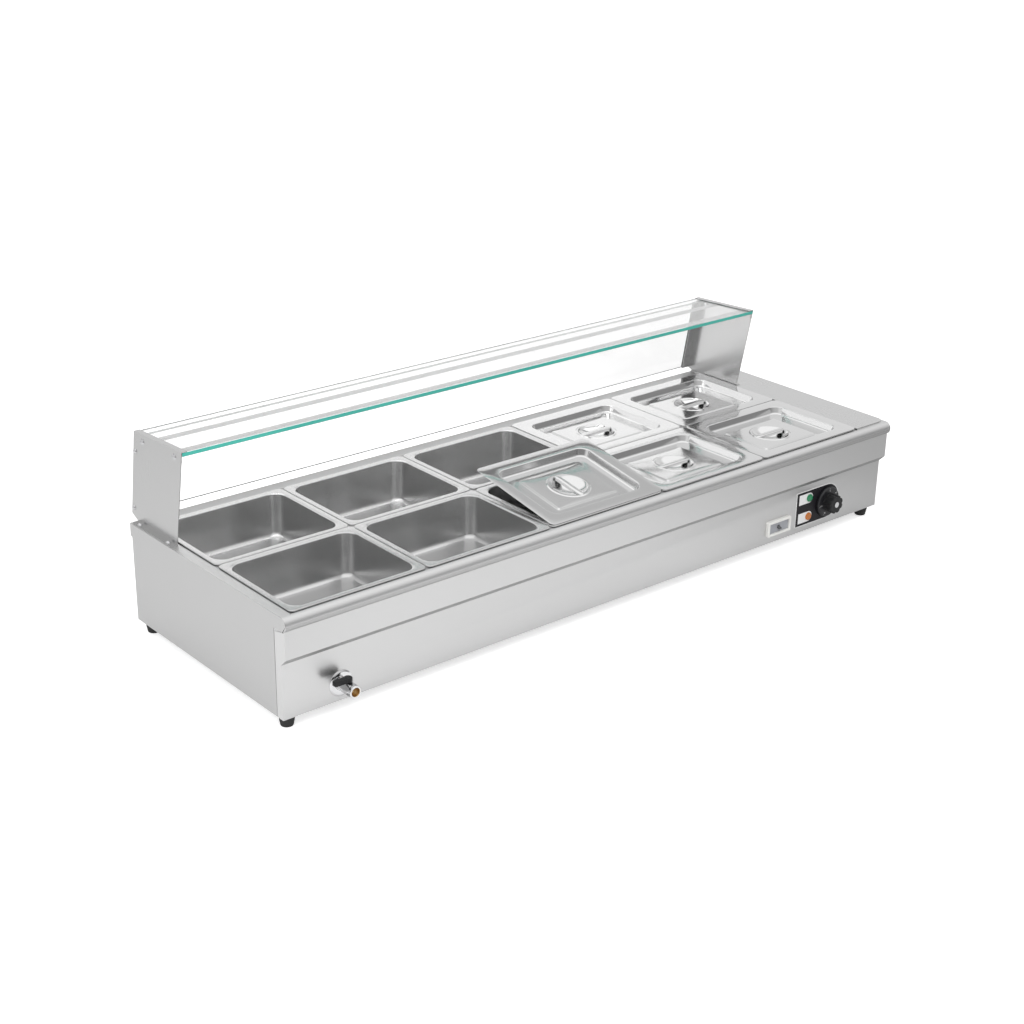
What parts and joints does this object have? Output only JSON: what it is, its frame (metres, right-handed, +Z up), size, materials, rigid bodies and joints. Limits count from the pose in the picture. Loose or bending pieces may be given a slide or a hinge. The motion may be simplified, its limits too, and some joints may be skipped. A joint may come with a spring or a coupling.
{
  "type": "bain-marie",
  "caption": "Long countertop bain-marie: stainless casing with a heated well of lift-out pans, loose lids, a glass sneeze guard, a dial thermostat, pilot lamps and a drain tap.",
  "frame": {"origin": "on the counter under the middle of the object's bounding box", "axes": "+X along the length to the right, +Y from the front to the back, +Z up"},
  "size_m": [1.77, 0.638, 0.467],
  "materials": {
    "casing_steel": "fine brushed stainless sheet, satin",
    "inner_steel": "plain mill-finish stainless sheet",
    "pan_steel": "polished pressed stainless",
    "rubber": "matte black moulded rubber",
    "insulation": "needled glass-fibre blanket",
    "fascia_black": "printed black label plate with a white edge",
    "green_lens": "translucent green lens",
    "amber_lens": "translucent amber lens",
    "knob_black": "black moulded plastic",
    "bright_chrome": "bright chrome plate",
    "copper_brass": "plain brass and copper tube",
    "cream_plastic": "off-white moulded plastic",
    "grey_plastic": "grey moulded plastic",
    "guard_glass": "clear float glass with polished green edges"
  },
  "bodies": {
    "housing": {"back_panel": "casing_steel", "base_tray": "inner_steel", "breaker_body": "cream_plastic", "breaker_frame": "cream_plastic", "cable_gland": "grey_plastic", "centre_bar": "casing_steel", "control_fascia": "fascia_black", "cross_bars": "casing_steel", "deck_cover": "casing_steel", "drain_elbow": "copper_brass", "front_panel": "casing_steel", "glass_brackets": "casing_steel", "glass_channels": "casing_steel", "guard_bolts": "bright_chrome", "guard_foot_screws": "bright_chrome", "guard_panel_left": "casing_steel", "guard_panel_right": "casing_steel", "heat_lamp": "amber_lens", "heating_element": "inner_steel", "insulation_blanket": "insulation", "left_side_panel": "casing_steel", "power_lamp": "green_lens", "rear_glass": "guard_glass", "right_side_panel": "casing_steel", "rubber_feet": "rubber", "terminal_block": "cream_plastic", "thermostat_body": "knob_black", "thermostat_capillary": "copper_brass", "top_glass": "guard_glass", "top_plate": "casing_steel", "valve_body": "bright_chrome", "valve_escutcheon": "bright_chrome", "water_tank": "inner_steel"},
    "temperature_knob": {"dial_skirt": "knob_black", "knob_grip": "knob_black", "knob_cap": "bright_chrome", "thermostat_shaft": "bright_chrome"},
    "breaker_lever": {"breaker_toggle": "grey_plastic"},
    "drain_lever": {"valve_lever": "knob_black", "valve_ball": "bright_chrome"},
    "pan_front_1": {"pan_front_1": "pan_steel"},
    "pan_front_2": {"pan_front_2": "pan_steel"},
    "pan_front_3": {"pan_front_3": "pan_steel"},
    "pan_front_4": {"pan_front_4": "pan_steel"},
    "pan_front_5": {"pan_front_5": "pan_steel"},
    "pan_rear_1": {"pan_rear_1": "pan_steel"},
    "pan_rear_2": {"pan_rear_2": "pan_steel"},
    "pan_rear_3": {"pan_rear_3": "pan_steel"},
    "pan_rear_4": {"pan_rear_4": "pan_steel"},
    "pan_rear_5": {"pan_rear_5": "pan_steel"},
    "lid_front_3": {"lid_front_3": "pan_steel", "lid_handle_front_3": "pan_steel"},
    "lid_front_4": {"lid_front_4": "pan_steel", "lid_handle_front_4": "pan_steel"},
    "lid_front_5": {"lid_front_5": "pan_steel", "lid_handle_front_5": "pan_steel"},
    "lid_rear_4": {"lid_rear_4": "pan_steel", "lid_handle_rear_4": "pan_steel"},
    "lid_rear_5": {"lid_rear_5": "pan_steel", "lid_handle_rear_5": "pan_steel"}
  },
  "joints": [
    {"name": "temperature_knob_turn", "type": "hinge", "parent": "housing", "child": "temperature_knob", "pos_m": [0.69, -0.2793, 0.087], "axis": [0, 1, 0], "range_deg": [0, 300]},
    {"name": "breaker_lever_tip", "type": "hinge", "parent": "housing", "child": "breaker_lever", "pos_m": [0.517, -0.2695, 0.066], "axis": [-1, 0, 0], "range_deg": [0, 40]},
    {"name": "drain_lever_turn", "type": "hinge", "parent": "housing", "child": "drain_lever", "pos_m": [-0.747, -0.293, 0.065], "axis": [0, 0, 1], "range_deg": [0, 90]},
    {"name": "pan_front_1_lift", "type": "slide", "parent": "housing", "child": "pan_front_1", "axis": [0, 0, 1], "range_m": [0, 0.15]},
    {"name": "pan_front_2_lift", "type": "slide", "parent": "housing", "child": "pan_front_2", "axis": [0, 0, 1], "range_m": [0, 0.15]},
    {"name": "pan_front_3_lift", "type": "slide", "parent": "housing", "child": "pan_front_3", "axis": [0, 0, 1], "range_m": [0, 0.15]},
    {"name": "pan_front_4_lift", "type": "slide", "parent": "housing", "child": "pan_front_4", "axis": [0, 0, 1], "range_m": [0, 0.15]},
    {"name": "pan_front_5_lift", "type": "slide", "parent": "housing", "child": "pan_front_5", "axis": [0, 0, 1], "range_m": [0, 0.15]},
    {"name": "pan_rear_1_lift", "type": "slide", "parent": "housing", "child": "pan_rear_1", "axis": [0, 0, 1], "range_m": [0, 0.12]},
    {"name": "pan_rear_2_lift", "type": "slide", "parent": "housing", "child": "pan_rear_2", "axis": [0, 0, 1], "range_m": [0, 0.12]},
    {"name": "pan_rear_3_lift", "type": "slide", "parent": "housing", "child": "pan_rear_3", "axis": [0, 0, 1], "range_m": [0, 0.12]},
    {"name": "pan_rear_4_lift", "type": "slide", "parent": "housing", "child": "pan_rear_4", "axis": [0, 0, 1], "range_m": [0, 0.12]},
    {"name": "pan_rear_5_lift", "type": "slide", "parent": "housing", "child": "pan_rear_5", "axis": [0, 0, 1], "range_m": [0, 0.12]},
    {"name": "lid_front_3_lift", "type": "slide", "parent": "pan_front_3", "child": "lid_front_3", "axis": [0, 0, 1], "range_m": [0, 0.1]},
    {"name": "lid_front_4_lift", "type": "slide", "parent": "pan_front_4", "child": "lid_front_4", "axis": [0, 0, 1], "range_m": [0, 0.1]},
    {"name": "lid_front_5_lift", "type": "slide", "parent": "pan_front_5", "child": "lid_front_5", "axis": [0, 0, 1], "range_m": [0, 0.1]},
    {"name": "lid_rear_4_lift", "type": "slide", "parent": "pan_rear_4", "child": "lid_rear_4", "axis": [0, 0, 1], "range_m": [0, 0.06]},
    {"name": "lid_rear_5_lift", "type": "slide", "parent": "pan_rear_5", "child": "lid_rear_5", "axis": [0, 0, 1], "range_m": [0, 0.06]}
  ]
}
